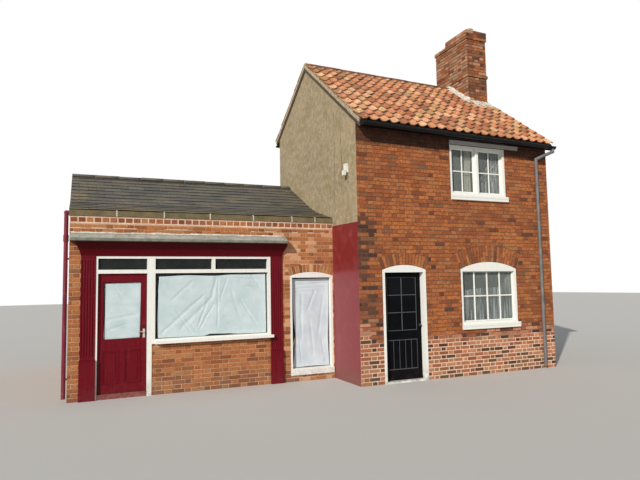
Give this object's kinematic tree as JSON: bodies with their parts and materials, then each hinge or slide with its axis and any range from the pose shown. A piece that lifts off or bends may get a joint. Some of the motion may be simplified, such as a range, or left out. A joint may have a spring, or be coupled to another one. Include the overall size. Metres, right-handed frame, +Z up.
{
  "type": "corner shop building",
  "caption": "Single-storey brick corner shop with a maroon shopfront, joined to the rendered gable of a two-storey tiled end house.",
  "frame": {"origin": "centre of the footprint of the whole building, at the lowest ground level", "axes": "+X along the street towards the house, +Y from the street to the back, +Z up"},
  "size_m": [9.571, 6.367, 8.19],
  "materials": {
    "shop_brick": "matt",
    "house_brick": "matt",
    "render": "rough",
    "floor_stone": "matt",
    "floor_boards": "matt",
    "slate": "matt",
    "clay_tile": "matt",
    "gutter_iron": "weathered",
    "maroon_iron": "painted",
    "black_plastic": "satin",
    "maroon_wood": "painted",
    "lead": "weathered",
    "white_wood": "painted",
    "dark_wood": "painted",
    "window_glass": "clear",
    "white_paper": "crumpled",
    "curtain_cloth": "soft",
    "hinge_steel": "satin",
    "handle_brass": "worn",
    "white_plastic": "satin"
  },
  "bodies": {
    "building": {"shop_front_pier": "shop_brick", "shop_stall_riser": "shop_brick", "shop_front_head": "shop_brick", "shop_front_right_wall": "shop_brick", "shop_side_wall": "shop_brick", "shop_back_wall": "shop_brick", "shop_inner_side_wall": "shop_brick", "shop_floor": "floor_stone", "shop_roof_front": "slate", "shop_roof_back": "slate", "shop_ridge_tiles": "clay_tile", "shop_gutters": "gutter_iron", "shop_downpipe": "maroon_iron", "left_pilaster": "maroon_wood", "right_pilaster": "maroon_wood", "fascia": "maroon_wood", "cornice_cover": "lead", "shopfront_frame": "white_wood", "shopfront_sill": "white_wood", "shopfront_glass": "window_glass", "window_paper": "white_paper", "shop_threshold": "floor_stone", "side_window_frame": "white_wood", "side_window_sill": "white_wood", "side_window_glass": "window_glass", "side_window_paper": "white_paper", "shop_back_window": "white_wood", "house_front_left_wall": "house_brick", "house_front_door_head": "house_brick", "house_front_right_wall": "house_brick", "gable_wall": "render", "house_back_wall": "house_brick", "party_wall": "house_brick", "ground_floor": "floor_stone", "upper_floor": "floor_boards", "house_roof_front": "clay_tile", "house_roof_back": "clay_tile", "house_ridge_tiles": "clay_tile", "chimney_stack": "house_brick", "chimney_pots": "clay_tile", "house_gutters": "black_plastic", "house_downpipe": "black_plastic", "house_door_frame": "white_wood", "lower_window_frame": "white_wood", "upper_window_frame": "white_wood", "house_window_glass": "window_glass", "window_curtains": "curtain_cloth", "house_back_windows": "white_wood", "back_door": "dark_wood", "gable_light": "white_plastic"},
    "shop_door_leaf": {"shop_door": "maroon_wood", "shop_door_hinges": "hinge_steel", "shop_door_glass": "window_glass", "shop_door_paper": "white_paper", "shop_door_handle": "hinge_steel"},
    "house_door_leaf": {"house_door": "dark_wood", "house_door_hinges": "hinge_steel", "house_door_glass": "window_glass", "house_door_knob": "handle_brass"}
  },
  "joints": [
    {"name": "shop_door_hinge", "type": "hinge", "parent": "building", "child": "shop_door_leaf", "pos_m": [-4.241, -1.68172, 0.087], "axis": [0, 0, 1], "range_deg": [0, 95]},
    {"name": "house_door_hinge", "type": "hinge", "parent": "building", "child": "house_door_leaf", "pos_m": [0.655, -2.69672, 0.035], "axis": [0, 0, 1], "range_deg": [0, 95]}
  ]
}
